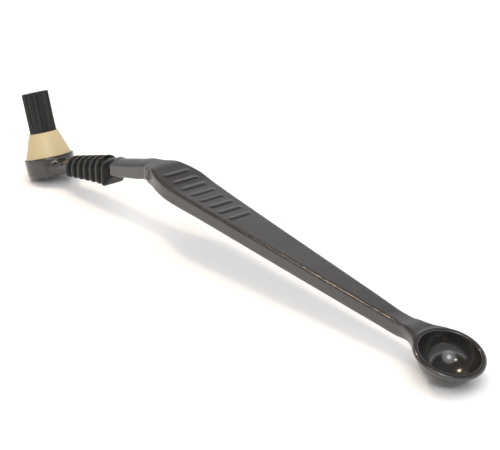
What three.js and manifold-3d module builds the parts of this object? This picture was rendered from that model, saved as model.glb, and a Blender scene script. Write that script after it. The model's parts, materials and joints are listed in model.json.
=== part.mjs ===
// Espresso machine cleaning brush with a detergent scoop on the other end of its handle.
// Millimetres, +Z up. The origin is the centre of the scoop's flat foot, on the worktop.
// The tool lies as it rests: the brush head is towards -X and the handle is symmetric about Y = 0.

import * as THREE from 'three';
import { mergeVertices } from 'three/addons/utils/BufferGeometryUtils.js';
import Module from 'manifold-3d';

const wasm = await Module();
wasm.setup();

// ---- driving dimensions ----

const gap = 0.3; // clearance left between any two pieces that touch
const cutClear = 5; // a cutting shape runs this far past the face that it opens

const headReach = 216.9; // from the scoop's centre to the head's centre, along the worktop
const headTilt = 17.5; // degrees that the brush leans away from the handle

const scoopRadius = 9.35; // inside radius of the hemispherical scoop
const scoopWall = 0.65;
const scoopTilt = 17.9; // degrees that the rim falls towards the tip
const lipWidth = 1.8; // rounded lip around the scoop
const lipDepth = 1.7;
const footRadius = 1.8; // flat under the scoop
const flareRadius = 19; // round in which the grip's side runs into the lip
const rimEase = 0.35; // the hollow's mouth opens this much wider than the bowl

const gripWidth = 17.6;
const gripThickness = 4.9;
const gripRise = 0.1135; // height gained per millimetre from the waist to the elbow
const waistWidth = 6.6;
const waistReach = 22; // from the scoop's centre back to the narrowest place
const waistTop = 13.3; // height of the top face there
const edgeRadius = 0.8; // rounding along the handle's long edges

const neckReach = 71; // from the head's centre to the elbow's crest
const elbowHeight = 28.1;
const neckWidth = 8.1;
const neckHeight = 7.1;
const neckRootWidth = 6.2; // where the neck leaves the cup
const neckRootHeight = 4.4;
const neckRise = 0.277;
const neckCrown = 1.8; // how far the neck's rounded top stands over its side edges

const cupRadius = 9.72; // outside radius at the rim
const cupWall = 0.65;
const cupDepth = 7.7; // rim to base, outside
const cupBoreDepth = 5.3;
const cupCorner = 1.9; // rounding where the cup's side meets its base
const cupDraft = 0.3; // how much narrower the cup is at the start of that rounding
const cupRestCut = 0.12; // the cup's lowest edge is flattened this much where it rests

const coneHeight = 9.45; // ferrule above the cup's rim
const coneLedge = 0.4; // flat ring left around the tuft
const tuftRadius = 5.02;
const tuftLength = 15.75; // bristle standing out of the ferrule
const rootStep = 1.18; // how far the tuft's fused root stands out, under the ferrule's shoulder
const rootThickness = 1.7;
const shoulderDepth = 1.0; // below the cup's rim
const plugThickness = 1.4;

const ribCount = 7;
const ribPitch = 4.2;
const ribHeight = 1.3; // how far a rib stands out from the neck's top and sides
const ribHang = 0.4; // how much deeper the first rib hangs below the neck than it stands above it
const ribGrowth = 0.3; // how much deeper each next rib hangs
const sleeveSkin = 0.6; // rubber between the neck and the valleys of the ribs
const guardStart = 17.6; // from the head's centre to the first rib, along the worktop
const drainLength = 3.2; // from the last rib's crest to the guard's end, where its flank drains

const nubLength = 2.8;
const nubWidth = 3.6;
const nubHeight = 0.55;

const barCount = 8; // low raised thumb bars on the grip
const barPitch = 5;
const barRise = 0.2;
const barWidth = 1.2;

// ---- small helpers ----

const radians = THREE.MathUtils.degToRad;

function toSolid(geometry) {
  const bare = geometry.clone();
  bare.deleteAttribute('normal');
  bare.deleteAttribute('uv');
  const merged = mergeVertices(bare, 1e-4);
  return new wasm.Manifold(new wasm.Mesh({
    numProp: 3,
    vertProperties: Float32Array.from(merged.attributes.position.array),
    triVerts: Uint32Array.from(merged.index.array),
  }));
}

function toGeometry(solid) {
  const mesh = solid.getMesh();
  const geometry = new THREE.BufferGeometry();
  geometry.setAttribute('position', new THREE.BufferAttribute(Float32Array.from(mesh.vertProperties), 3));
  geometry.setIndex(new THREE.BufferAttribute(Uint32Array.from(mesh.triVerts), 1));
  geometry.computeVertexNormals();
  return geometry;
}

// A smooth curve through [x, value] points that never overshoots them.
function smoothThrough(points) {
  const count = points.length;
  const slopes = [];
  for (let i = 0; i < count - 1; i += 1) {
    slopes.push((points[i + 1][1] - points[i][1]) / (points[i + 1][0] - points[i][0]));
  }
  const tangents = points.map((_, i) => {
    if (i === 0) return slopes[0];
    if (i === count - 1) return slopes[count - 2];
    if (slopes[i - 1] * slopes[i] <= 0) return 0;
    return (2 * slopes[i - 1] * slopes[i]) / (slopes[i - 1] + slopes[i]);
  });
  return (x) => {
    let i = 0;
    while (i < count - 2 && x > points[i + 1][0]) i += 1;
    const [x0, v0] = points[i];
    const [x1, v1] = points[i + 1];
    const span = x1 - x0;
    const t = THREE.MathUtils.clamp((x - x0) / span, 0, 1);
    const a = (1 + 2 * t) * (1 - t) ** 2 * v0 + t * (1 - t) ** 2 * span * tangents[i];
    const b = t * t * (3 - 2 * t) * v1 - t * t * (1 - t) * span * tangents[i + 1];
    return a + b;
  };
}

// One closed outline across the handle: flat sides, rounded edges and a top that may be crowned.
function sectionOutline({ halfWidth, top, bottom, crown, radius }) {
  const cornerSteps = 4;
  const topSteps = 4;
  const surface = (y) => top - crown * (y / halfWidth) ** 2;
  const side = [];
  for (let i = 0; i <= cornerSteps; i += 1) {
    const angle = (Math.PI / 2) * (i / cornerSteps);
    side.push([halfWidth - radius + radius * Math.sin(angle), bottom + radius - radius * Math.cos(angle)]);
  }
  for (let i = 0; i <= cornerSteps; i += 1) {
    const angle = (Math.PI / 2) * (i / cornerSteps);
    const y = halfWidth - radius + radius * Math.cos(angle);
    side.push([y, surface(y) - radius + radius * Math.sin(angle)]);
  }
  for (let i = 1; i < topSteps; i += 1) {
    const y = (halfWidth - radius) * (1 - i / topSteps);
    side.push([y, surface(y)]);
  }
  const mirrored = side.map(([y, z]) => [-y, z]).reverse();
  return [...side, [0, top], ...mirrored, [0, bottom]];
}

// Skins a list of equal-length rings of Vector3 into one closed solid.
function skin(rings) {
  const size = rings[0].length;
  const positions = rings.flat().flatMap((p) => [p.x, p.y, p.z]);
  const indices = [];
  for (let r = 0; r < rings.length - 1; r += 1) {
    for (let i = 0; i < size; i += 1) {
      const j = (i + 1) % size;
      const a = r * size;
      const b = a + size;
      indices.push(a + i, a + j, b + j, a + i, b + j, b + i);
    }
  }
  for (const [ring, flip] of [[0, true], [rings.length - 1, false]]) {
    const centre = new THREE.Vector3();
    rings[ring].forEach((p) => centre.addScaledVector(p, 1 / size));
    const apex = positions.length / 3;
    positions.push(centre.x, centre.y, centre.z);
    for (let i = 0; i < size; i += 1) {
      const a = ring * size + i;
      const b = ring * size + ((i + 1) % size);
      indices.push(...(flip ? [apex, b, a] : [apex, a, b]));
    }
  }
  const geometry = new THREE.BufferGeometry();
  geometry.setAttribute('position', new THREE.Float32BufferAttribute(positions, 3));
  geometry.setIndex(indices);
  return geometry;
}

function steps(from, to, count) {
  return Array.from({ length: count + 1 }, (_, i) => from + ((to - from) * i) / count);
}

function arc(centreRadius, centreHeight, radius, fromDegrees, toDegrees, count) {
  return steps(radians(fromDegrees), radians(toDegrees), count).map(
    (a) => new THREE.Vector2(centreRadius + radius * Math.cos(a), centreHeight + radius * Math.sin(a)),
  );
}

// Turns a [radius, height] profile about an axis that leans along X by leanDegrees.
function turned(profile, segments, centre, leanDegrees) {
  const geometry = new THREE.LatheGeometry(profile, segments);
  geometry.rotateX(Math.PI / 2);
  geometry.rotateY(radians(leanDegrees));
  geometry.translate(centre.x, centre.y, centre.z);
  return geometry;
}

// ---- places worked out from the dimensions ----

const bowlRadius = scoopRadius + scoopWall;
const scoopCentre = new THREE.Vector3(0, 0, Math.sqrt(bowlRadius ** 2 - footRadius ** 2));
const headX = -headReach;
const cupFootRadius = cupRadius - cupDraft - cupCorner; // flat part of the cup's base
const cupLow = Math.cos(radians(headTilt)) * (cupDepth - cupCorner)
  + Math.sin(radians(headTilt)) * cupFootRadius + cupCorner;
const headCentre = new THREE.Vector3(headX, 0, cupLow - cupRestCut);
const elbowX = headX + neckReach;
const waistX = -waistReach;
const shoulderX = elbowX + 18;
const rootRadius = tuftRadius + rootStep;
const lipOutside = scoopRadius + lipWidth;
const flareCentreY = waistWidth / 2 + flareRadius;
const flareCentreX = -Math.sqrt((lipOutside + flareRadius) ** 2 - flareCentreY ** 2);
const flareStartX = flareCentreX * Math.cos(radians(scoopTilt));
const flareEndX = (flareStartX * lipOutside) / (lipOutside + flareRadius);
const rimPlaneAt = (x) => scoopCentre.z - x * Math.tan(radians(scoopTilt));
const neckRootX = headX + cupRadius * Math.cos(radians(headTilt)) - 1;

// ---- the handle's long curves ----

const gripTaper = (gripWidth - waistWidth) / 2 / (waistX - shoulderX);
const barHalfWidthAt = smoothThrough([
  [neckRootX, neckRootWidth / 2 + 2.4],
  [neckRootX + 5, neckRootWidth / 2],
  [elbowX, neckWidth / 2],
  [elbowX + 5, neckWidth / 2 + 1.7],
  [elbowX + 13, gripWidth / 2 - 0.6],
  [shoulderX, gripWidth / 2],
  [shoulderX + 12, gripWidth / 2 - 12 * gripTaper],
  [waistX - 12, waistWidth / 2 + 12 * gripTaper],
  [waistX, waistWidth / 2],
  [flareStartX, waistWidth / 2],
]);

function halfWidthAt(x) {
  const intoFlare = Math.max(x - flareStartX, 0) / Math.cos(radians(scoopTilt));
  return barHalfWidthAt(x) + flareRadius - Math.sqrt(flareRadius ** 2 - intoFlare ** 2);
}

const gripTopLine = (x) => waistTop + gripRise * (waistX - x);
const neckTopLine = (x) => elbowHeight + neckRise * (x - elbowX);
const topAt = smoothThrough([
  [neckRootX, neckTopLine(neckRootX) - 0.5],
  [elbowX - 24, neckTopLine(elbowX - 24)],
  [elbowX - 6, neckTopLine(elbowX - 6)],
  [elbowX + 1, elbowHeight + 0.1],
  [elbowX + 5, elbowHeight + 0.05],
  [elbowX + 12, gripTopLine(elbowX + 12) + 1.1],
  [shoulderX + 6, gripTopLine(shoulderX + 6) + 0.2],
  [shoulderX + 24, gripTopLine(shoulderX + 24)],
  [waistX - 6, gripTopLine(waistX - 6)],
  [waistX, waistTop],
  [waistX + 5, waistTop - 0.25],
  [flareStartX + 3, rimPlaneAt(-lipOutside) - 0.15],
  [flareEndX - 1, rimPlaneAt(flareEndX - 1) - 0.05],
  [flareEndX, rimPlaneAt(flareEndX) - 0.05],
]);
const depthAt = smoothThrough([
  [neckRootX, neckRootHeight + 1.6],
  [neckRootX + 6, neckRootHeight],
  [elbowX, neckHeight],
  [elbowX + 3, neckHeight],
  [elbowX + 10, gripThickness + 1],
  [shoulderX + 4, gripThickness + 0.5],
  [shoulderX + 24, gripThickness],
  [waistX, gripThickness],
  [flareEndX, lipDepth + 2],
]);
const crownAt = smoothThrough([
  [neckRootX, neckCrown * 0.7],
  [elbowX - 2, neckCrown],
  [elbowX + 8, 0],
  [flareEndX, 0],
]);

function handleRing(x, grow) {
  const top = topAt(x);
  const halfWidth = halfWidthAt(x);
  const outline = sectionOutline({
    halfWidth: halfWidth + grow,
    top: top + grow,
    bottom: top - depthAt(x) - grow,
    crown: crownAt(x),
    radius: Math.min(edgeRadius, halfWidth * 0.4) + grow,
  });
  return outline.map(([y, z]) => new THREE.Vector3(x, y, z));
}

function handleBar() {
  const stations = [
    ...steps(neckRootX, neckRootX + 6, 4),
    ...steps(neckRootX + 10, elbowX - 8, 7),
    ...steps(elbowX - 6, shoulderX + 4, 18),
    ...steps(shoulderX + 8, waistX - 6, 10),
    ...steps(waistX - 3, flareStartX, 4),
    ...steps(flareStartX, flareEndX, 9).slice(1),
  ];
  return toSolid(skin(stations.map((x) => handleRing(x, 0))));
}

// ---- sub-parts ----

function scoopShell() {
  const lipRadius = lipWidth / 2;
  const lipCentre = scoopRadius + lipRadius;
  const profile = [
    new THREE.Vector2(0, -bowlRadius),
    ...arc(0, 0, bowlRadius, -85, -12, 14),
    ...arc(lipCentre, -lipDepth + lipRadius, lipRadius, -60, 0, 3),
    ...arc(lipCentre, -lipRadius, lipRadius, 0, 90, 4),
    new THREE.Vector2(0, 0),
  ];
  return toSolid(turned(profile, 56, scoopCentre, scoopTilt));
}

function scoopHollow() {
  const profile = [
    new THREE.Vector2(0, -scoopRadius),
    ...arc(0, 0, scoopRadius, -85, 0, 14),
    new THREE.Vector2(scoopRadius + rimEase, 1),
    new THREE.Vector2(scoopRadius + rimEase, cutClear),
    new THREE.Vector2(0, cutClear),
  ];
  return toSolid(turned(profile, 56, scoopCentre, scoopTilt));
}

function cupShell() {
  const sideRadius = cupRadius - cupDraft;
  const profile = [
    new THREE.Vector2(0, -cupDepth),
    ...arc(sideRadius - cupCorner, -cupDepth + cupCorner, cupCorner, -90, 0, 5),
    new THREE.Vector2(cupRadius, -0.25),
    new THREE.Vector2(cupRadius - 0.2, 0),
    new THREE.Vector2(0, 0),
  ];
  return toSolid(turned(profile, 48, headCentre, -headTilt));
}

function cupBore() {
  const profile = [
    new THREE.Vector2(0, -cupBoreDepth),
    new THREE.Vector2(cupRadius - cupWall, -cupBoreDepth),
    new THREE.Vector2(cupRadius - cupWall, cutClear),
    new THREE.Vector2(0, cutClear),
  ];
  return toSolid(turned(profile, 48, headCentre, -headTilt));
}

function worktop() {
  const slab = new THREE.BoxGeometry(3 * headReach, 100, 20);
  slab.translate(-headReach / 2, 0, -10);
  return toSolid(slab);
}

// A small barb on top of the neck that stops the guard from sliding back.
function retainingNub(nubX) {
  const ramp = new THREE.Shape();
  ramp.moveTo(0, -1);
  ramp.lineTo(nubLength, -1);
  ramp.lineTo(nubLength, 0);
  ramp.lineTo(0.5, nubHeight);
  ramp.lineTo(0, nubHeight * 0.8);
  ramp.closePath();
  const wedge = new THREE.ExtrudeGeometry(ramp, { depth: nubWidth, bevelEnabled: false });
  wedge.translate(0, 0, -nubWidth / 2);
  wedge.rotateX(Math.PI / 2);
  wedge.rotateY(-Math.atan(neckRise));
  wedge.translate(nubX, 0, topAt(nubX));
  return toSolid(wedge);
}

function thumbBars() {
  const bars = [];
  for (let i = 0; i < barCount; i += 1) {
    const x = shoulderX - 4 + i * barPitch;
    const reach = halfWidthAt(x) * 0.5;
    const bar = new THREE.Shape();
    bar.absarc(0, reach, barWidth / 2, 0, Math.PI);
    bar.absarc(0, -reach, barWidth / 2, Math.PI, 2 * Math.PI);
    const raised = new THREE.ExtrudeGeometry(bar, { depth: barRise + 0.5, bevelEnabled: false, curveSegments: 5 });
    raised.translate(0, 0, -0.5);
    raised.rotateY(Math.atan(gripRise));
    raised.translate(x, 0, topAt(x));
    bars.push(toSolid(raised));
  }
  return bars;
}

const guardStartX = headX + guardStart;
const lastCrestX = guardStartX + ribPitch * (ribCount - 0.5);
const guardEndX = lastCrestX + drainLength;

function makeHandle() {
  let solid = handleBar().add(scoopShell()).add(cupShell());
  solid = solid.add(retainingNub(guardEndX + gap));
  for (const bar of thumbBars()) solid = solid.add(bar);
  return toGeometry(solid.subtract(scoopHollow()).subtract(cupBore()).subtract(worktop()));
}

// The guard's outside at x: rounded ribs that hang lower towards the grip.
// The last rib is left off the top, and its far flank runs down to the neck as a drip edge.
function guardRing(x) {
  const wave = Math.abs(Math.sin((Math.PI * (x - guardStartX)) / ribPitch)) ** 0.8;
  const ribStand = sleeveSkin + (ribHeight - sleeveSkin) * wave;
  const ribsPassed = (Math.min(x, lastCrestX) - guardStartX) / ribPitch;
  const fade = THREE.MathUtils.clamp((x - lastCrestX) / drainLength, 0, 1);
  const side = THREE.MathUtils.lerp(fade > 0 ? ribHeight : ribStand, sleeveSkin, fade);
  const hang = THREE.MathUtils.lerp(side + ribHang + ribGrowth * ribsPassed, sleeveSkin, fade);
  const above = x > lastCrestX - ribPitch / 2 ? sleeveSkin : ribStand;
  const top = topAt(x);
  const outline = sectionOutline({
    halfWidth: halfWidthAt(x) + gap + side,
    top: top + gap + above,
    bottom: top - depthAt(x) - gap - hang,
    crown: crownAt(x) + sleeveSkin,
    radius: edgeRadius + gap + side * 0.6,
  });
  return outline.map(([y, z]) => new THREE.Vector3(x, y, z));
}

function makeSplashGuard() {
  const ribSteps = 6;
  const overrun = 4; // the bore is cut this far past both ends
  const stations = [
    ...steps(guardStartX, lastCrestX, (ribCount - 0.5) * ribSteps),
    ...steps(lastCrestX, guardEndX, 3).slice(1),
  ];
  const bore = steps(guardStartX - overrun, guardEndX + overrun, 12).map((x) => handleRing(x, gap));
  const sleeve = toSolid(skin(stations.map(guardRing)));
  return toGeometry(sleeve.subtract(toSolid(skin(bore))));
}

function makeFerrule() {
  const spigotRadius = cupRadius - cupWall - gap;
  const tuftBore = tuftRadius + gap;
  const rootBore = rootRadius + gap;
  const spigotEnd = -cupBoreDepth + gap;
  const profile = [
    new THREE.Vector2(tuftBore, coneHeight),
    new THREE.Vector2(tuftBore, -shoulderDepth),
    new THREE.Vector2(rootBore, -shoulderDepth),
    new THREE.Vector2(rootBore, spigotEnd),
    new THREE.Vector2(spigotRadius - 0.4, spigotEnd),
    new THREE.Vector2(spigotRadius, spigotEnd + 0.6),
    new THREE.Vector2(spigotRadius, 0),
    new THREE.Vector2(tuftBore + coneLedge + 0.1, coneHeight - 0.15),
    new THREE.Vector2(tuftBore + coneLedge - 0.1, coneHeight),
    new THREE.Vector2(tuftBore, coneHeight),
  ];
  return turned(profile, 56, headCentre, -headTilt);
}

function makeTuft() {
  const rootTop = -shoulderDepth - gap;
  const profile = [
    new THREE.Vector2(0, rootTop - rootThickness),
    new THREE.Vector2(rootRadius - 0.3, rootTop - rootThickness),
    new THREE.Vector2(rootRadius, rootTop - rootThickness + 0.3),
    new THREE.Vector2(rootRadius, rootTop),
    new THREE.Vector2(tuftRadius, rootTop),
    new THREE.Vector2(tuftRadius, coneHeight + tuftLength),
    new THREE.Vector2(0, coneHeight + tuftLength),
  ];
  return turned(profile, 40, headCentre, -headTilt);
}

function makePlug() {
  const plugTop = -shoulderDepth - gap - rootThickness - gap;
  const profile = [
    new THREE.Vector2(0, plugTop - plugThickness),
    new THREE.Vector2(rootRadius - 0.3, plugTop - plugThickness),
    new THREE.Vector2(rootRadius, plugTop - plugThickness + 0.3),
    new THREE.Vector2(rootRadius, plugTop),
    new THREE.Vector2(0, plugTop),
  ];
  return turned(profile, 40, headCentre, -headTilt);
}

// ---- the assembly ----

const nylon = { color: 0x1b1a1a, roughness: 0.28, metalness: 0 };
const rubber = { color: 0x20211f, roughness: 0.65, metalness: 0 };
const cream = { color: 0xe4d3ae, roughness: 0.4, metalness: 0 };
const filament = { color: 0x161616, roughness: 0.6, metalness: 0 };

function piece(name, geometry, look) {
  const mesh = new THREE.Mesh(geometry, new THREE.MeshStandardMaterial(look));
  mesh.name = name;
  return mesh;
}

const group = new THREE.Group();
group.add(
  piece('handle', makeHandle(), nylon),
  piece('splash_guard', makeSplashGuard(), rubber),
  piece('ferrule', makeFerrule(), cream),
  piece('bristle_tuft', makeTuft(), filament),
  piece('ferrule_plug', makePlug(), cream),
);

export default group;
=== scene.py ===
import json
import math

import bmesh
import bpy
import numpy as np
from mathutils import Matrix, Vector


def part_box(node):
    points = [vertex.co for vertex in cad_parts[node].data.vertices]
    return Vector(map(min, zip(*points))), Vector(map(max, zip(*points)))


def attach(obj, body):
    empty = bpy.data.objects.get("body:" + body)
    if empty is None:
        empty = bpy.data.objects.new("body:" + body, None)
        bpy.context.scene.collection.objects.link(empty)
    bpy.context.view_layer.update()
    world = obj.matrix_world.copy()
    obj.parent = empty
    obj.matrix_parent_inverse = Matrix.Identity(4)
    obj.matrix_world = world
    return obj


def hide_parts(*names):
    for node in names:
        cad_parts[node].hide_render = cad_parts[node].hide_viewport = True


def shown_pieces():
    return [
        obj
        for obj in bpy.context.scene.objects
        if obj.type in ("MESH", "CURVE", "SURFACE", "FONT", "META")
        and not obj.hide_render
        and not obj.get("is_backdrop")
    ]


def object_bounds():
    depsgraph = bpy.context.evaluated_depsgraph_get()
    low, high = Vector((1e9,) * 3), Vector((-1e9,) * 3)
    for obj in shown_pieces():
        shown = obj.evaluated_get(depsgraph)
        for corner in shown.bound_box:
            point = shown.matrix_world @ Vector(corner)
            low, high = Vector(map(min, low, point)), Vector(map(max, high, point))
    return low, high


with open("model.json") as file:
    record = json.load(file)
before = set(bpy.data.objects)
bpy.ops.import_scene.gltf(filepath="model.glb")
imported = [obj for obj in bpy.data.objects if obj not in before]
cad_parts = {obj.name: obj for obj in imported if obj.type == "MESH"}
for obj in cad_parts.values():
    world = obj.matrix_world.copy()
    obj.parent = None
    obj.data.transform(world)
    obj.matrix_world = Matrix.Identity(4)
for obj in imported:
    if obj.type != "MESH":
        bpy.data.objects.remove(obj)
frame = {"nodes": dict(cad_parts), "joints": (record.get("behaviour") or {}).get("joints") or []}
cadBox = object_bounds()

mm = 0.001
touching = 0.001 * mm  # points closer than this are one

# The insert's pull-out axis is the axis of the whole head: cup, ferrule and tuft.
brushAxis = Vector(frame["joints"][0]["axis"]).normalized()
plugLow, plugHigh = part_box("ferrule_plug")
plugDepth = 4.0 * mm  # from the cup's rim to the middle of the plug
rimCentre = (plugLow + plugHigh) / 2 + brushAxis * plugDepth


def newObject(name, data):
    obj = bpy.data.objects.new(name, data)
    bpy.context.scene.collection.objects.link(obj)
    return obj


def placing(centre, axis):
    return Matrix.Translation(centre) @ axis.to_track_quat("Z", "Y").to_matrix().to_4x4()


# Points on an arc of a profile. Its angles are in degrees, up from straight outwards.
def arc(centreRadius, centreHeight, radius, fromAngle, toAngle, count):
    angles = np.radians(np.linspace(fromAngle, toAngle, count + 1))
    return [(centreRadius + radius * math.cos(a), centreHeight + radius * math.sin(a)) for a in angles]


# Turns (radius, height) points about an axis into a closed mesh. The profile starts and ends on the
# axis, or with ring=True it closes on itself.
def lathe(name, profile, centre, axis, segments, ring=False):
    turn = placing(centre, axis)
    angles = [2 * math.pi * i / segments for i in range(segments)]
    bm = bmesh.new()
    rows = []
    for radius, height in profile:
        around = angles if radius > touching else angles[:1]
        rows.append([bm.verts.new(turn @ Vector((radius * math.cos(a), radius * math.sin(a), height)))
                     for a in around])
    for lower, upper in zip(rows, rows[1:] + (rows[:1] if ring else [])):
        for i in range(segments):
            j = (i + 1) % segments
            corners = [lower[i % len(lower)], lower[j % len(lower)],
                       upper[j % len(upper)], upper[i % len(upper)]]
            distinct = list(dict.fromkeys(corners))
            if len(distinct) > 2:
                bm.faces.new(distinct)
    bmesh.ops.recalc_face_normals(bm, faces=bm.faces)
    mesh = bpy.data.meshes.new(name)
    bm.to_mesh(mesh)
    bm.free()
    return mesh


def joined(name, meshes):
    bm = bmesh.new()
    for mesh in meshes:
        bm.from_mesh(mesh)
    mesh = bpy.data.meshes.new(name)
    bm.to_mesh(mesh)
    bm.free()
    return mesh


# A copy of a plain node's mesh, with its loose triangles merged into one surface.
def mergedCopy(nodeName):
    bm = bmesh.new()
    bm.from_mesh(frame["nodes"][nodeName].data)
    bmesh.ops.remove_doubles(bm, verts=bm.verts, dist=touching)
    mesh = bpy.data.meshes.new(nodeName)
    bm.to_mesh(mesh)
    bm.free()
    return mesh


# Runs an object's modifiers into one plain mesh.
def settle(obj, name):
    bpy.context.view_layer.update()
    graph = bpy.context.evaluated_depsgraph_get()
    mesh = bpy.data.meshes.new_from_object(obj.evaluated_get(graph), depsgraph=graph)
    bpy.data.objects.remove(obj)
    return newObject(name, mesh)


def cutAway(obj, cutterMesh):
    cutter = newObject("cutter", cutterMesh)
    cut = obj.modifiers.new("cut", "BOOLEAN")
    cut.operation = "DIFFERENCE"
    cut.solver = "EXACT"
    cut.object = cutter
    done = settle(obj, obj.name)
    bpy.data.objects.remove(cutter)
    return done


def smoothShade(obj, creaseAngle):
    obj.data.shade_smooth()
    obj.data.set_sharp_from_angle(angle=math.radians(creaseAngle))


def points(mesh):
    flat = np.empty(len(mesh.vertices) * 3)
    mesh.vertices.foreach_get("co", flat)
    return flat.reshape(-1, 3)


def ramp(values, low, high):
    t = np.clip((values - low) / (high - low), 0, 1)
    return t * t * (3 - 2 * t)


# Evens a mesh out towards its neighbours' middle, as far as each point's weight lets it.
def relax(mesh, weights, rounds, pushBack=0.0):
    where = points(mesh)
    ends = np.empty(len(mesh.edges) * 2, dtype=np.int64)
    mesh.edges.foreach_get("vertices", ends)
    a, b = ends.reshape(-1, 2).T
    neighbours = np.bincount(ends, minlength=len(where))[:, None]
    for _ in range(rounds):
        for step in (0.5, -0.5 * pushBack):
            sums = [np.bincount(a, where[b, k], len(where)) + np.bincount(b, where[a, k], len(where))
                    for k in range(3)]
            middle = np.stack(sums, axis=1) / neighbours
            where += step * weights[:, None] * (middle - where)
    mesh.vertices.foreach_set("co", where.ravel())
    mesh.update()


def paint(mesh, name, values):
    layer = mesh.attributes.new(name, "FLOAT", "POINT")
    layer.data.foreach_set("value", np.asarray(values, dtype=np.float32))


def linear(hexColour):
    channels = [int(hexColour[i:i + 2], 16) / 255 for i in (1, 3, 5)]
    return tuple(c / 12.92 if c <= 0.04045 else ((c + 0.055) / 1.055) ** 2.4 for c in channels) + (1.0,)


def addNode(tree, kind, values=None, links=None, **settings):
    node = tree.nodes.new(kind)
    for name, value in settings.items():
        setattr(node, name, value)
    for key, value in (values or {}).items():
        node.inputs[key].default_value = value
    for key, source in (links or {}).items():
        tree.links.new(source, node.inputs[key])
    return node


def newMaterial(name):
    material = bpy.data.materials.new(name)
    material.use_nodes = True
    material.node_tree.nodes.clear()
    return material, material.node_tree


def finishMaterial(tree, colour, roughness, bump, values):
    links = {"Base Color": colour, "Roughness": roughness, "Normal": bump}
    shader = addNode(tree, "ShaderNodeBsdfPrincipled", values, links)
    addNode(tree, "ShaderNodeOutputMaterial", links={"Surface": shader.outputs["BSDF"]})


# Black glass-filled nylon, injection moulded. The mould is spark-eroded over the grip's top panel, which
# is a broad grey satin, and polished elsewhere, so the sides and the scoop mirror what is round them.
nylonLook = {
    "base": "#22201e",
    "worn": "#2e2c2a",
    "panelRoughness": 0.3,
    "sideRoughness": 0.16,
    "mottle": 0.04,  # how far the roughness strays either way
    "sink": 11 * mm,  # waviness that a long moulding takes as it cools
    "sinkDepth": 0.6 * mm,
    "sinkStrength": 0.12,
    "grain": 0.5 * mm,  # spark-eroded grain, drawn coarser than the real 0.1 mm so that it shows
    "grainDepth": 0.05 * mm,
    "grainStrength": 0.25,
    "ior": 1.53,
    "specular": 0.75,
}


def mouldedNylon():
    look = nylonLook
    material, tree = newMaterial("mouldedNylon")
    place = addNode(tree, "ShaderNodeTexCoord").outputs["Object"]
    panel = addNode(tree, "ShaderNodeAttribute", attribute_name="panel").outputs["Fac"]
    sink = addNode(tree, "ShaderNodeTexNoise", {"Scale": 1 / look["sink"], "Detail": 2.0},
                   {"Vector": place}).outputs["Fac"]
    grain = addNode(tree, "ShaderNodeTexNoise", {"Scale": 1 / look["grain"], "Detail": 3.0},
                    {"Vector": place}).outputs["Fac"]
    colour = addNode(tree, "ShaderNodeMix", {6: linear(look["base"]), 7: linear(look["worn"])},
                     {0: sink}, data_type="RGBA").outputs[2]
    finish = addNode(tree, "ShaderNodeMapRange",
                     {"To Min": look["sideRoughness"], "To Max": look["panelRoughness"]},
                     {"Value": panel}).outputs["Result"]
    mottle = addNode(tree, "ShaderNodeMapRange", {"To Min": -look["mottle"], "To Max": look["mottle"]},
                     {"Value": grain}).outputs["Result"]
    roughness = addNode(tree, "ShaderNodeMath", links={0: finish, 1: mottle}, operation="ADD").outputs[0]
    wave = addNode(tree, "ShaderNodeBump", {"Strength": look["sinkStrength"], "Distance": look["sinkDepth"]},
                   {"Height": sink}).outputs["Normal"]
    onPanel = addNode(tree, "ShaderNodeMath", links={0: grain, 1: panel}, operation="MULTIPLY").outputs[0]
    bump = addNode(tree, "ShaderNodeBump",
                   {"Strength": look["grainStrength"], "Distance": look["grainDepth"]},
                   {"Height": onPanel, "Normal": wave}).outputs["Normal"]
    finishMaterial(tree, colour, roughness, bump,
                   {"IOR": look["ior"], "Specular IOR Level": look["specular"]})
    return material


# Soft black thermoplastic rubber: low sheen, with pale colour along the rib crests that is partly dust where
# the ribs are touched and partly a painted highlight.
rubberLook = {
    "base": "#090908",
    # Pale crest colour: partly dust, partly a painted highlight.
    "crestDustAndHighlight": "#555551",
    "speck": 0.7 * mm,
    "speckDepth": 0.06 * mm,
    "speckStrength": 0.2,
    "ridge": 9.0,  # how closely the dust and the painted highlight keep to the crests
    "leastRoughness": 0.25,
    "mostRoughness": 0.4,
    "ior": 1.45,
    "specular": 0.25,
}


def guardRubber():
    look = rubberLook
    material, tree = newMaterial("guardRubber")
    place = addNode(tree, "ShaderNodeTexCoord").outputs["Object"]
    crest = addNode(tree, "ShaderNodeAttribute", attribute_name="crest").outputs["Fac"]
    speck = addNode(tree, "ShaderNodeTexNoise", {"Scale": 1 / look["speck"], "Detail": 5.0},
                    {"Vector": place}).outputs["Fac"]
    ridge = addNode(tree, "ShaderNodeMath", {1: look["ridge"]}, {0: crest}, operation="POWER").outputs[0]
    dustAndHighlight = addNode(tree, "ShaderNodeMath", links={0: ridge, 1: speck}, operation="MULTIPLY").outputs[0]
    # The crests are painted pale: partly dust, partly a painted highlight.
    colour = addNode(tree, "ShaderNodeMix", {6: linear(look["base"]), 7: linear(look["crestDustAndHighlight"])},
                     {0: dustAndHighlight}, data_type="RGBA").outputs[2]
    roughness = addNode(tree, "ShaderNodeMapRange",
                        {"To Min": look["leastRoughness"], "To Max": look["mostRoughness"]},
                        {"Value": speck}).outputs["Result"]
    bump = addNode(tree, "ShaderNodeBump",
                   {"Strength": look["speckStrength"], "Distance": look["speckDepth"]},
                   {"Height": speck}).outputs["Normal"]
    finishMaterial(tree, colour, roughness, bump,
                   {"IOR": look["ior"], "Specular IOR Level": look["specular"]})
    return material


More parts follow.
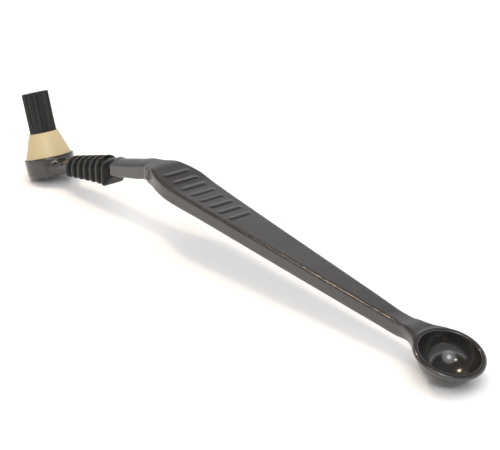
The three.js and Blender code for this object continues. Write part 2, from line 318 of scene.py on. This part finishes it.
# Cream polypropylene, injection moulded: a soft satin with slow flow clouds and a little depth.
creamLook = {
    "base": "#b8a781",
    "flow": "#c0b08a",
    "cloud": 6 * mm,
    "peel": 0.9 * mm,  # orange peel, the fine unevenness of a moulded gloss
    "peelDepth": 0.05 * mm,
    "peelStrength": 0.12,
    "leastRoughness": 0.34,
    "mostRoughness": 0.46,
    "ior": 1.49,
    "subsurface": 0.15,
    "subsurfaceReach": 1.2 * mm,
    "subsurfaceTint": (1.0, 0.7, 0.4),  # red light travels furthest
}


def creamPolypropylene():
    look = creamLook
    material, tree = newMaterial("creamPolypropylene")
    place = addNode(tree, "ShaderNodeTexCoord").outputs["Object"]
    cloud = addNode(tree, "ShaderNodeTexNoise", {"Scale": 1 / look["cloud"], "Detail": 3.0},
                    {"Vector": place}).outputs["Fac"]
    peel = addNode(tree, "ShaderNodeTexNoise", {"Scale": 1 / look["peel"], "Detail": 2.0},
                   {"Vector": place}).outputs["Fac"]
    colour = addNode(tree, "ShaderNodeMix", {6: linear(look["base"]), 7: linear(look["flow"])},
                     {0: cloud}, data_type="RGBA").outputs[2]
    roughness = addNode(tree, "ShaderNodeMapRange",
                        {"To Min": look["leastRoughness"], "To Max": look["mostRoughness"]},
                        {"Value": peel}).outputs["Result"]
    bump = addNode(tree, "ShaderNodeBump",
                   {"Strength": look["peelStrength"], "Distance": look["peelDepth"]},
                   {"Height": peel}).outputs["Normal"]
    finishMaterial(tree, colour, roughness, bump, {
        "IOR": look["ior"],
        "Subsurface Weight": look["subsurface"],
        "Subsurface Radius": look["subsurfaceTint"],
        "Subsurface Scale": look["subsurfaceReach"],
    })
    return material


# Extruded black nylon filament: each strand is smooth and a little lighter or darker than the next.
filamentLook = {
    "dark": "#131312",
    "light": "#272625",
    "streak": 0.25 * mm,
    "streakDepth": 0.02 * mm,
    "streakStrength": 0.1,
    "leastRoughness": 0.35,
    "mostRoughness": 0.55,
    "ior": 1.53,
}


def nylonFilament():
    look = filamentLook
    material, tree = newMaterial("nylonFilament")
    strand = addNode(tree, "ShaderNodeAttribute", attribute_name="strand").outputs["Fac"]
    place = addNode(tree, "ShaderNodeTexCoord").outputs["Object"]
    streak = addNode(tree, "ShaderNodeTexNoise", {"Scale": 1 / look["streak"], "Detail": 2.0},
                     {"Vector": place}).outputs["Fac"]
    colour = addNode(tree, "ShaderNodeMix", {6: linear(look["dark"]), 7: linear(look["light"])},
                     {0: strand}, data_type="RGBA").outputs[2]
    roughness = addNode(tree, "ShaderNodeMapRange",
                        {"To Min": look["leastRoughness"], "To Max": look["mostRoughness"]},
                        {"Value": strand}).outputs["Result"]
    bump = addNode(tree, "ShaderNodeBump",
                   {"Strength": look["streakStrength"], "Distance": look["streakDepth"]},
                   {"Height": streak}).outputs["Normal"]
    finishMaterial(tree, colour, roughness, bump, {"IOR": look["ior"]})
    return material


handleShape = {
    "voxel": 0.37 * mm,
    "evenRounds": 8,
    "evenPushBack": 1.04,  # keeps the moulding from shrinking as it is evened out
    "filletRounds": 12,
    "scoopRadius": 9.35 * mm,
    "scoopWall": 0.65 * mm,
    "scoopTilt": 17.9,
    "footRadius": 1.8 * mm,
    "lipEase": 0.5 * mm,  # rounding of the lip's inner edge
    "cupRadius": 9.72 * mm,
    "cupWall": 0.65 * mm,
    "cupBoreDepth": 5.3 * mm,
    "cupFillDepth": 6.5 * mm,
    "bowlFillInset": 0.1 * mm,  # the fills stop this far inside the walls' outer faces
    "cupFillInset": 0.3 * mm,
    "overcut": 4 * mm,  # the hollowing cuts run this far above the rims
    "fillSegments": 64,
    "bowlSegments": 128,
    "boreSegments": 96,
    "crease": 40,  # edges sharper than this stay crisp
    # Where the joins to the scoop and the cup are softened.
    "webReach": 1.2 * mm,  # full from here, out from the bowl's wall
    "webFadeIn": 1.5 * mm,  # over this much before it
    "webFadeOut": (13.5 * mm, 17 * mm),  # from the scoop's centre
    "webStart": -7 * mm,  # only on the grip's side of this X
    "webTop": (-0.9 * mm, -0.3 * mm),  # heights from the rim plane over which it ends, so the rim stays crisp
    "cupFadeIn": (8.2 * mm, 9.4 * mm),  # from the cup's axis
    "cupFadeOut": (12 * mm, 15 * mm),
    # Where the top panel's grain lies.
    "panelStart": (10 * mm, 14 * mm),  # along X from the cup's rim
    "panelFacing": (0.86, 0.97),  # how far upwards a face has to look
}


def makeHandle(material):
    s = handleShape
    bowl = s["scoopRadius"] + s["scoopWall"]
    tilt = math.radians(s["scoopTilt"])
    scoopAxis = Vector((math.sin(tilt), 0, math.cos(tilt)))
    scoopCentre = Vector((0, 0, math.sqrt(bowl ** 2 - s["footRadius"] ** 2)))

    # The plain moulding with its two hollows filled is fused and evened out, then hollowed again.
    blank = mergedCopy("handle")
    filled = bowl - s["bowlFillInset"]
    bowlProfile = [(0, -filled), *arc(0, 0, filled, -85, 0, 20), (0, 0)]
    bowlFill = lathe("fill", bowlProfile, scoopCentre, scoopAxis, s["fillSegments"])
    cupSide = s["cupRadius"] - s["cupFillInset"]
    cupProfile = [(0, -s["cupFillDepth"]), (cupSide, -s["cupFillDepth"]), (cupSide, 0), (0, 0)]
    cupFill = lathe("fill", cupProfile, rimCentre, brushAxis, s["fillSegments"])
    handle = newObject("handle_moulding", joined("handle_moulding", [blank, bowlFill, cupFill]))
    remesh = handle.modifiers.new("fuse", "REMESH")
    remesh.mode = "VOXEL"
    remesh.voxel_size = s["voxel"]
    handle = settle(handle, "handle_moulding")

    where = points(handle.data)
    relax(handle.data, np.ones(len(where)), s["evenRounds"], pushBack=s["evenPushBack"])
    fromScoop = np.linalg.norm(where - np.array(scoopCentre), axis=1)
    height = (where - np.array(scoopCentre)) @ np.array(scoopAxis)
    webInside = bowl + s["webReach"]
    nearScoop = ramp(fromScoop, webInside - s["webFadeIn"], webInside)
    nearScoop *= 1 - ramp(fromScoop, *s["webFadeOut"])
    nearScoop *= (where[:, 0] < s["webStart"]) * (1 - ramp(height, *s["webTop"]))
    fromCup = (where - np.array(rimCentre)) @ np.array(Vector((brushAxis.z, 0, -brushAxis.x)))
    nearCup = ramp(fromCup, *s["cupFadeIn"]) * (1 - ramp(fromCup, *s["cupFadeOut"]))
    relax(handle.data, np.clip(nearScoop + nearCup, 0, 1), s["filletRounds"])

    inside = s["scoopRadius"]
    ease = s["lipEase"]
    top = s["overcut"]
    bowlCut = [(0, -inside), *arc(0, 0, inside, -87, -4, 40), *arc(inside + ease, -ease, ease, 170, 92, 6),
               (inside + ease, top), (0, top)]
    handle = cutAway(handle, lathe("bowl", bowlCut, scoopCentre, scoopAxis, s["bowlSegments"]))
    bore = s["cupRadius"] - s["cupWall"]
    boreCut = [(0, -s["cupBoreDepth"]), (bore, -s["cupBoreDepth"]), (bore, top), (0, top)]
    handle = cutAway(handle, lathe("bore", boreCut, rimCentre, brushAxis, s["boreSegments"]))

    where = points(handle.data)
    where[:, 2] = np.maximum(where[:, 2], 0)  # the foot lies flat on the floor
    handle.data.vertices.foreach_set("co", where.ravel())
    handle.data.update()
    facing = np.empty(len(where) * 3)
    handle.data.vertex_normals.foreach_get("vector", facing)
    upward = facing.reshape(-1, 3)[:, 2]
    panelFrom, panelTo = s["panelStart"]
    onPanel = ramp(where[:, 0], rimCentre.x + panelFrom, rimCentre.x + panelTo)
    onPanel *= ramp(np.linalg.norm(where - np.array(scoopCentre), axis=1), inside, inside + ease)
    paint(handle.data, "panel", ramp(upward, *s["panelFacing"]) * onPanel)

    handle.data.materials.clear()
    handle.data.materials.append(material)
    smoothShade(handle, s["crease"])
    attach(handle, "handle_body")
    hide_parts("handle")


guardShape = {
    "ribs": 7,
    "ribPitch": 4.2 * mm,
    "valley": 0.3 * mm,  # rubber over the neck between two ribs
    "ribHeight": 1.2 * mm,  # from there to a crest
    "hang": 0.5 * mm,  # extra depth of the first rib below the neck
    "growth": 0.3 * mm,  # more for each next rib
    "sharpness": 0.85,  # below 1 a rib is round and its valley narrow
    "ribCorner": 2.3 * mm,
    "dripCorner": 1.3 * mm,  # the last rib is squarer, so that drops fall from it
    "valleyCorner": 1.9 * mm,
    "boreCorner": 1.2 * mm,
    "crown": 1.9 * mm,  # how far the top falls from its middle to its sides
    "fit": 0.08 * mm,  # gap between the bore and the neck
    "rows": 150,
    "neckCuts": 9,  # places where the neck's section is read
    "edgePoints": 9,  # points along each corner and flat of a row
    "crease": 50,
}


# The neck's section at x, read from the plain moulding: half width, top and bottom.
def neckAt(x):
    bm = bmesh.new()
    bm.from_mesh(frame["nodes"]["handle"].data)
    geometry = bm.verts[:] + bm.edges[:] + bm.faces[:]
    cut = bmesh.ops.bisect_plane(bm, geom=geometry, plane_co=(x, 0, 0), plane_no=(1, 0, 0))["geom_cut"]
    ring = [v.co.copy() for v in cut if isinstance(v, bmesh.types.BMVert)]
    bm.free()
    return max(p.y for p in ring), max(p.z for p in ring), min(p.z for p in ring)


# One row of the sleeve as (y, z) points: up one side, over the crowned top, down the other side and back.
def sleeveOutline(halfWidth, top, bottom, corner):
    crown, count = guardShape["crown"], guardShape["edgePoints"]

    def topAt(y):
        return top - crown * (y / halfWidth) ** 2

    side = []
    for a in np.radians(np.linspace(0, 90, count)):
        side.append((halfWidth - corner + corner * math.sin(a), bottom + corner - corner * math.cos(a)))
    for a in np.radians(np.linspace(0, 90, count)):
        y = halfWidth - corner + corner * math.cos(a)
        side.append((y, topAt(y) - corner + corner * math.sin(a)))
    for y in np.linspace(halfWidth - corner, 0, count)[1:-1]:
        side.append((y, topAt(y)))
    mirrored = [(-y, z) for y, z in reversed(side)]
    underside = [(y, bottom) for y in np.linspace(-halfWidth + corner, halfWidth - corner, count)[1:-1]]
    return np.array([*side, (0, top), *mirrored, *underside])


# Pushes the sleeve's points out into ribs, and from the last crest straight back to the neck.
def ribTree(material):
    tree = bpy.data.node_groups.new("guardRibs", "GeometryNodeTree")
    for name, kind in (("Geometry", "NodeSocketGeometry"), ("Rib pitch", "NodeSocketFloat"),
                       ("Sharpness", "NodeSocketFloat"), ("Last crest", "NodeSocketFloat"),
                       ("Drain length", "NodeSocketFloat")):
        tree.interface.new_socket(name, in_out="INPUT", socket_type=kind)
    tree.interface.new_socket("Geometry", in_out="OUTPUT", socket_type="NodeSocketGeometry")
    inputs = addNode(tree, "NodeGroupInput").outputs
    along = addNode(tree, "GeometryNodeInputNamedAttribute", {"Name": "along"}, data_type="FLOAT").outputs[0]
    outward = addNode(tree, "GeometryNodeInputNamedAttribute", {"Name": "outward"},
                      data_type="FLOAT_VECTOR").outputs[0]
    pitches = addNode(tree, "ShaderNodeMath", links={0: along, 1: inputs["Rib pitch"]},
                      operation="DIVIDE").outputs[0]
    turns = addNode(tree, "ShaderNodeMath", {1: math.pi}, {0: pitches}, operation="MULTIPLY").outputs[0]
    wave = addNode(tree, "ShaderNodeMath", links={0: turns}, operation="SINE").outputs[0]
    swell = addNode(tree, "ShaderNodeMath", links={0: wave}, operation="ABSOLUTE").outputs[0]
    ripple = addNode(tree, "ShaderNodeMath", links={0: swell, 1: inputs["Sharpness"]},
                     operation="POWER").outputs[0]
    beyond = addNode(tree, "ShaderNodeMath", links={0: along, 1: inputs["Last crest"]},
                     operation="SUBTRACT").outputs[0]
    past = addNode(tree, "ShaderNodeMath", links={0: beyond, 1: inputs["Drain length"]},
                   operation="DIVIDE").outputs[0]
    drain = addNode(tree, "ShaderNodeMath", {0: 1.0}, {1: past}, operation="SUBTRACT").outputs[0]
    onDrain = addNode(tree, "ShaderNodeMath", {1: 0.0}, {0: past}, operation="GREATER_THAN").outputs[0]
    rise = addNode(tree, "GeometryNodeSwitch", links={"Switch": onDrain, "False": ripple, "True": drain},
                   input_type="FLOAT").outputs[0]
    offset = addNode(tree, "ShaderNodeVectorMath", links={0: outward, "Scale": rise},
                     operation="SCALE").outputs[0]
    moved = addNode(tree, "GeometryNodeSetPosition",
                    links={"Geometry": inputs["Geometry"], "Offset": offset})
    marked = addNode(tree, "GeometryNodeStoreNamedAttribute", {"Name": "crest"},
                     {"Geometry": moved.outputs[0], "Value": rise}, data_type="FLOAT", domain="POINT")
    real = addNode(tree, "GeometryNodeRealizeInstances", links={"Geometry": marked.outputs[0]})
    dressed = addNode(tree, "GeometryNodeSetMaterial", {"Material": material}, {"Geometry": real.outputs[0]})
    addNode(tree, "NodeGroupOutput", links={0: dressed.outputs[0]})
    return tree


def setInputs(modifier, values):
    for item in modifier.node_group.interface.items_tree:
        if item.item_type == "SOCKET" and item.in_out == "INPUT" and item.name in values:
            modifier[item.identifier] = values[item.name]


def makeGuard(material):
    g = guardShape
    low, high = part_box("splash_guard")
    length = high.x - low.x
    lastCrest = g["ribPitch"] * (g["ribs"] - 0.5)
    lastRib = lastCrest - g["ribPitch"] / 2
    stations = np.linspace(low.x, high.x, g["neckCuts"])
    sections = np.array([neckAt(x) for x in stations])
    curves = [np.polyfit(stations, sections[:, k], 2) for k in range(3)]
    rows = np.linspace(0, length, g["rows"])
    v, h, fit = g["valley"], g["ribHeight"], g["fit"]
    outer, inner, outward, along = [], [], [], []
    for distance in rows:
        halfWidth, top, bottom = (np.polyval(c, low.x + distance) for c in curves)
        hang = g["hang"] + g["growth"] * min(distance, lastCrest) / g["ribPitch"]
        topRise, corner = (0, g["dripCorner"]) if distance > lastRib else (h, g["ribCorner"])
        valley = sleeveOutline(halfWidth + v, top + v, bottom - v, g["valleyCorner"])
        crest = sleeveOutline(halfWidth + v + h, top + v + topRise, bottom - v - h - hang, corner)
        bore = sleeveOutline(halfWidth + fit, top + fit, bottom - fit, g["boreCorner"])
        outer += [(low.x + distance, y, z) for y, z in valley]
        inner += [(low.x + distance, y, z) for y, z in bore]
        outward += [(0, y, z) for y, z in crest - valley]
        along += [distance] * len(valley)
    size = len(outer) // len(rows)
    count = len(outer)
    last = count - size
    faces = []
    for i in range(size):
        j = (i + 1) % size
        for a in range(0, last, size):
            b = a + size
            faces.append((a + i, a + j, b + j, b + i))
            faces.append((count + a + i, count + b + i, count + b + j, count + a + j))
        faces.append((i, count + i, count + j, j))
        faces.append((last + i, last + j, count + last + j, count + last + i))
    mesh = bpy.data.meshes.new("splash_guard_sleeve")
    mesh.from_pydata(outer + inner, [], faces)
    bm = bmesh.new()
    bm.from_mesh(mesh)
    bmesh.ops.recalc_face_normals(bm, faces=bm.faces)
    bm.to_mesh(mesh)
    bm.free()
    paint(mesh, "along", along * 2)
    layer = mesh.attributes.new("outward", "FLOAT_VECTOR", "POINT")
    still = [(0, 0, 0)] * count  # the bore keeps its shape
    layer.data.foreach_set("vector", np.array(outward + still, dtype=np.float32).ravel())

    guard = newObject("splash_guard_sleeve", mesh)
    ribs = guard.modifiers.new("ribs", "NODES")
    ribs.node_group = ribTree(material)
    setInputs(ribs, {"Rib pitch": g["ribPitch"], "Sharpness": g["sharpness"], "Last crest": lastCrest,
                     "Drain length": length - lastCrest})
    guard = settle(guard, "splash_guard_sleeve")
    smoothShade(guard, g["crease"])
    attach(guard, "handle_body")
    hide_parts("splash_guard")


ferruleShape = {
    "rimRadius": 8.97 * mm,  # at the cup's rim, where the taper starts
    "topRadius": 5.72 * mm,
    "bore": 5.32 * mm,
    "rootBore": 6.5 * mm,
    "height": 9.45 * mm,
    "shoulder": 1.0 * mm,
    "spigot": 5.0 * mm,
    "soft": 0.22 * mm,  # rounding of the visible edges
    "seatHeights": (-3 * mm, -1 * mm, -0.3 * mm, 0),  # rows of points up the straight part in the cup
    "segments": 144,
    "crease": 35,
}


def makeFerrule(material):
    f = ferruleShape
    e = f["soft"]
    lean = math.degrees(math.atan2(f["rimRadius"] - f["topRadius"], f["height"]))
    profile = [
        (f["bore"], -f["shoulder"]),
        (f["rootBore"], -f["shoulder"]),
        (f["rootBore"], -f["spigot"]),
        (f["rimRadius"] - 2 * e, -f["spigot"]),
        (f["rimRadius"], -f["spigot"] + 2 * e),
        *[(f["rimRadius"], height) for height in f["seatHeights"]],
        *arc(f["topRadius"] - e, f["height"] - e, e, lean, 90, 6),
        (f["bore"] + e, f["height"]),
        (f["bore"], f["height"] - e),
    ]
    cone = lathe("ferrule_cone", profile, rimCentre, brushAxis, f["segments"], ring=True)
    ferrule = newObject("ferrule_cone", cone)
    ferrule.data.materials.append(material)
    smoothShade(ferrule, f["crease"])
    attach(ferrule, "brush_cartridge")
    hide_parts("ferrule")


tuftShape = {
    "radius": 5.06 * mm,
    "spacing": 0.27 * mm,
    "density": 4.0e7,  # filaments tried per square metre, so many that the spacing decides
    "filament": 0.15 * mm,  # radius of one filament
    "reach": 15.7 * mm,  # above the ferrule
    "sunk": 3.0 * mm,  # below the ferrule's top
    "lean": 0.6,  # degrees a filament may stray
    "twist": 3.0,  # radians it may turn on itself
    "uneven": 0.012,  # part of its length that a filament may fall short
    "sides": 6,
    "seed": 7,
    "toneSeed": 11,
    "rootTone": 0.2,
    "rootSegments": 64,
    "crease": 50,
    "rootRadius": 6.2 * mm,
    "rootThickness": 1.7 * mm,
    "rootTop": -1.3 * mm,  # below the cup's rim
    "bundleSunk": 0.6 * mm,  # below the ferrule's top
}


# Scatters filaments over a disc at z = 0, each with its own slight lean, length and tone.
def tuftTree(material):
    tree = bpy.data.node_groups.new("tuftFilaments", "GeometryNodeTree")
    for name, kind in (("Radius", "NodeSocketFloat"), ("Spacing", "NodeSocketFloat"),
                       ("Filament radius", "NodeSocketFloat"), ("Length", "NodeSocketFloat"),
                       ("Lean", "NodeSocketFloat"), ("Shortest", "NodeSocketFloat"),
                       ("Seed", "NodeSocketInt")):
        tree.interface.new_socket(name, in_out="INPUT", socket_type=kind)
    tree.interface.new_socket("Geometry", in_out="OUTPUT", socket_type="NodeSocketGeometry")
    inputs = addNode(tree, "NodeGroupInput").outputs
    disc = addNode(tree, "GeometryNodeMeshCircle", {"Vertices": 48}, {"Radius": inputs["Radius"]},
                   fill_type="NGON").outputs[0]
    scatter = addNode(tree, "GeometryNodeDistributePointsOnFaces", {"Density Max": tuftShape["density"]},
                      {"Mesh": disc, "Distance Min": inputs["Spacing"], "Seed": inputs["Seed"]},
                      distribute_method="POISSON").outputs["Points"]
    strand = addNode(tree, "GeometryNodeMeshCylinder", {"Vertices": tuftShape["sides"], "Side Segments": 2},
                     {"Radius": inputs["Filament radius"], "Depth": inputs["Length"]}).outputs["Mesh"]
    half = addNode(tree, "ShaderNodeMath", {1: 0.5}, {0: inputs["Length"]}, operation="MULTIPLY").outputs[0]
    lift = addNode(tree, "ShaderNodeCombineXYZ", links={"Z": half}).outputs[0]
    stood = addNode(tree, "GeometryNodeTransform",
                    links={"Geometry": strand, "Translation": lift}).outputs[0]
    back = addNode(tree, "ShaderNodeMath", {1: -1.0}, {0: inputs["Lean"]}, operation="MULTIPLY").outputs[0]
    lowLean = addNode(tree, "ShaderNodeCombineXYZ", {"Z": -tuftShape["twist"]},
                      {"X": back, "Y": back}).outputs[0]
    highLean = addNode(tree, "ShaderNodeCombineXYZ", {"Z": tuftShape["twist"]},
                       {"X": inputs["Lean"], "Y": inputs["Lean"]}).outputs[0]
    turn = addNode(tree, "FunctionNodeRandomValue", links={0: lowLean, 1: highLean, "Seed": inputs["Seed"]},
                   data_type="FLOAT_VECTOR").outputs[0]
    tall = addNode(tree, "FunctionNodeRandomValue", {3: 1.0},
                   {2: inputs["Shortest"], "Seed": inputs["Seed"]}, data_type="FLOAT").outputs[1]
    size = addNode(tree, "ShaderNodeCombineXYZ", {"X": 1.0, "Y": 1.0}, {"Z": tall}).outputs[0]
    tone = addNode(tree, "FunctionNodeRandomValue", {2: 0.0, 3: 1.0, "Seed": tuftShape["toneSeed"]},
                   data_type="FLOAT").outputs[1]
    toned = addNode(tree, "GeometryNodeStoreNamedAttribute", {"Name": "strand"},
                    {"Geometry": scatter, "Value": tone}, data_type="FLOAT", domain="POINT").outputs[0]
    planted = addNode(tree, "GeometryNodeInstanceOnPoints",
                      links={"Points": toned, "Instance": stood, "Rotation": turn, "Scale": size})
    real = addNode(tree, "GeometryNodeRealizeInstances", links={"Geometry": planted.outputs[0]})
    dressed = addNode(tree, "GeometryNodeSetMaterial", {"Material": material}, {"Geometry": real.outputs[0]})
    addNode(tree, "NodeGroupOutput", links={0: dressed.outputs[0]})
    return tree


def makeTuft(material):
    t = tuftShape
    planter = newObject("filaments", bpy.data.meshes.new("filaments"))
    growth = planter.modifiers.new("filaments", "NODES")
    growth.node_group = tuftTree(material)
    setInputs(growth, {"Radius": t["radius"], "Spacing": t["spacing"], "Filament radius": t["filament"],
                       "Length": t["reach"] + t["sunk"], "Lean": math.radians(t["lean"]),
                       "Shortest": 1 - t["uneven"], "Seed": t["seed"]})
    filaments = settle(planter, "filaments")
    base = rimCentre + brushAxis * (ferruleShape["height"] - t["sunk"])
    filaments.data.transform(placing(base, brushAxis))

    # The fused root, and the solid bundle that the filaments rise from inside the ferrule.
    rootLow = t["rootTop"] - t["rootThickness"]
    bundleTop = ferruleShape["height"] - t["bundleSunk"]
    root = lathe("root", [(0, rootLow), (t["rootRadius"], rootLow), (t["rootRadius"], t["rootTop"]),
                          (t["radius"], t["rootTop"]), (t["radius"], bundleTop), (0, bundleTop)],
                 rimCentre, brushAxis, t["rootSegments"])
    root.materials.append(material)
    paint(root, "strand", [t["rootTone"]] * len(root.vertices))
    tuft = newObject("tuft_filaments", joined("tuft_filaments", [filaments.data, root]))
    bpy.data.objects.remove(filaments)
    tuft.data.materials.append(material)
    smoothShade(tuft, t["crease"])
    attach(tuft, "brush_cartridge")
    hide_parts("bristle_tuft")


studio = {
    "floorSize": 6.0,
    "floorPale": "#f8f8f7",
    "floorDull": "#f6f5f4",
    "floorPatch": 50 * mm,
    "floorRoughness": 0.8,
    "floorSpecular": 0.1,
    "skyStrength": 1.9,
}


def makeFloor():
    material, tree = newMaterial("paleWorktop")
    place = addNode(tree, "ShaderNodeTexCoord").outputs["Object"]
    patch = addNode(tree, "ShaderNodeTexNoise", {"Scale": 1 / studio["floorPatch"], "Detail": 2.0},
                    {"Vector": place}).outputs["Fac"]
    colour = addNode(tree, "ShaderNodeMix", {6: linear(studio["floorDull"]), 7: linear(studio["floorPale"])},
                     {0: patch}, data_type="RGBA").outputs[2]
    finish = {"Roughness": studio["floorRoughness"], "Specular IOR Level": studio["floorSpecular"]}
    shader = addNode(tree, "ShaderNodeBsdfPrincipled", finish, {"Base Color": colour})
    addNode(tree, "ShaderNodeOutputMaterial", links={"Surface": shader.outputs["BSDF"]})
    half = studio["floorSize"] / 2
    corners = [(-half, -half, 0), (half, -half, 0), (half, half, 0), (-half, half, 0)]
    mesh = bpy.data.meshes.new("worktop")
    mesh.from_pydata(corners, [], [(0, 1, 2, 3)])
    floor = newObject("worktop", mesh)
    floor.data.materials.append(material)
    floor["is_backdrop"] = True


# The light from each height of the sky, from level (0) to straight up (1), as linear red, green and blue.
skyBands = [
    (0.0, (0.36, 0.36, 0.36)),
    (0.37, (0.34, 0.34, 0.35)),
    (0.44, (0.9, 0.91, 0.93)),
    (0.5, (0.9, 0.91, 0.93)),
    (0.56, (0.03, 0.03, 0.03)),
    (0.85, (0.08, 0.08, 0.08)),
]


def makeWorld():
    world = bpy.data.worlds.new("studio")
    bpy.context.scene.world = world
    world.use_nodes = True
    tree = world.node_tree
    tree.nodes.clear()
    direction = addNode(tree, "ShaderNodeTexCoord").outputs["Generated"]
    height = addNode(tree, "ShaderNodeSeparateXYZ", links={0: direction}).outputs["Z"]
    bands = addNode(tree, "ShaderNodeValToRGB", links={"Fac": height})
    stops = bands.color_ramp.elements
    stops.remove(stops[-1])
    stops[0].position, stops[0].color = skyBands[0][0], (*skyBands[0][1], 1)
    for position, shade in skyBands[1:]:
        stops.new(position).color = (*shade, 1)
    light = addNode(tree, "ShaderNodeBackground", {"Strength": studio["skyStrength"]},
                    {"Color": bands.outputs["Color"]})
    addNode(tree, "ShaderNodeOutputWorld", links={"Surface": light.outputs[0]})


middle = (cadBox[0] + cadBox[1]) / 2
bowlFloor = (0, 0, 0.01)
lamps = [
    {"name": "softbox", "place": (middle.x, middle.y + 0.15, 1.1), "target": middle,
     "size": 1.8, "power": 12.0, "colour": (1, 1, 1), "mirrored": False},
    # Its light runs in a warm line along the grip's near edge.
    {"name": "sheenLamp", "place": (-0.304, -0.076, 0.502), "target": (-0.037, -0.004, 0.015),
     "size": 0.07, "power": 0.7, "colour": (1, 0.72, 0.5), "mirrored": True},
    # The scoop's bowl mirrors a cool patch, a soft glow round it and a warm dot.
    {"name": "window", "place": (0.3, -0.27, 0.44), "target": bowlFloor,
     "size": 0.15, "power": 0.45, "colour": (0.95, 0.97, 1), "mirrored": True},
    {"name": "glow", "place": (0.36, -0.32, 0.53), "target": bowlFloor,
     "size": 0.62, "power": 1.8, "colour": (1, 1, 1), "mirrored": True},
    {"name": "spot", "place": (0.05, -0.37, 0.48), "target": bowlFloor,
     "size": 0.05, "power": 0.3, "colour": (1, 0.85, 0.7), "mirrored": True},
]


def makeLamp(name, place, target, size, power, colour, mirrored):
    light = bpy.data.lights.new(name, "AREA")
    light.shape = "DISK"
    light.size = size
    light.energy = power
    light.color = colour
    lamp = newObject(name, light)
    lamp.location = place
    lamp.rotation_euler = (Vector(target) - Vector(place)).to_track_quat("-Z", "Y").to_euler()
    lamp.visible_glossy = mirrored


camera = {
    "place": (0.26362, -0.28612, 0.21014),
    "yaw": 51.14,
    "pitch": 22.62,
    "roll": -0.45,
    "lens": 108.05,
    "sensor": 36,
    "clipStart": 0.01,
}


def makeCamera():
    yaw, pitch, roll = (math.radians(camera[angle]) for angle in ("yaw", "pitch", "roll"))
    ahead = Vector((-math.sin(yaw) * math.cos(pitch), math.cos(yaw) * math.cos(pitch), -math.sin(pitch)))
    right = Vector((math.cos(yaw), math.sin(yaw), 0))
    above = right.cross(ahead)
    turned = Matrix((right * math.cos(roll) + above * math.sin(roll),
                     above * math.cos(roll) - right * math.sin(roll), -ahead)).transposed()
    viewer = newObject("camera", bpy.data.cameras.new("camera"))
    viewer.data.sensor_width = camera["sensor"]
    viewer.data.lens = camera["lens"]
    viewer.data.clip_start = camera["clipStart"]
    viewer.matrix_world = Matrix.Translation(camera["place"]) @ turned.to_4x4()
    bpy.context.scene.camera = viewer


def makeStudio():
    bpy.context.scene.view_settings.view_transform = "Standard"
    makeFloor()
    makeWorld()
    for lamp in lamps:
        makeLamp(**lamp)
    makeCamera()


print("stage: materials")
nylon = mouldedNylon()
rubber = guardRubber()
cream = creamPolypropylene()
filament = nylonFilament()
print("stage: handle")
makeHandle(nylon)
print("stage: splash guard")
makeGuard(rubber)
print("stage: ferrule")
makeFerrule(cream)
plugMaterials = frame["nodes"]["ferrule_plug"].data.materials
plugMaterials.clear()
plugMaterials.append(cream)
print("stage: tuft")
makeTuft(filament)
print("stage: studio")
makeStudio()
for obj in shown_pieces():
    obj.data.calc_loop_triangles()
    print("piece", obj.name, "triangles", len(obj.data.loop_triangles))
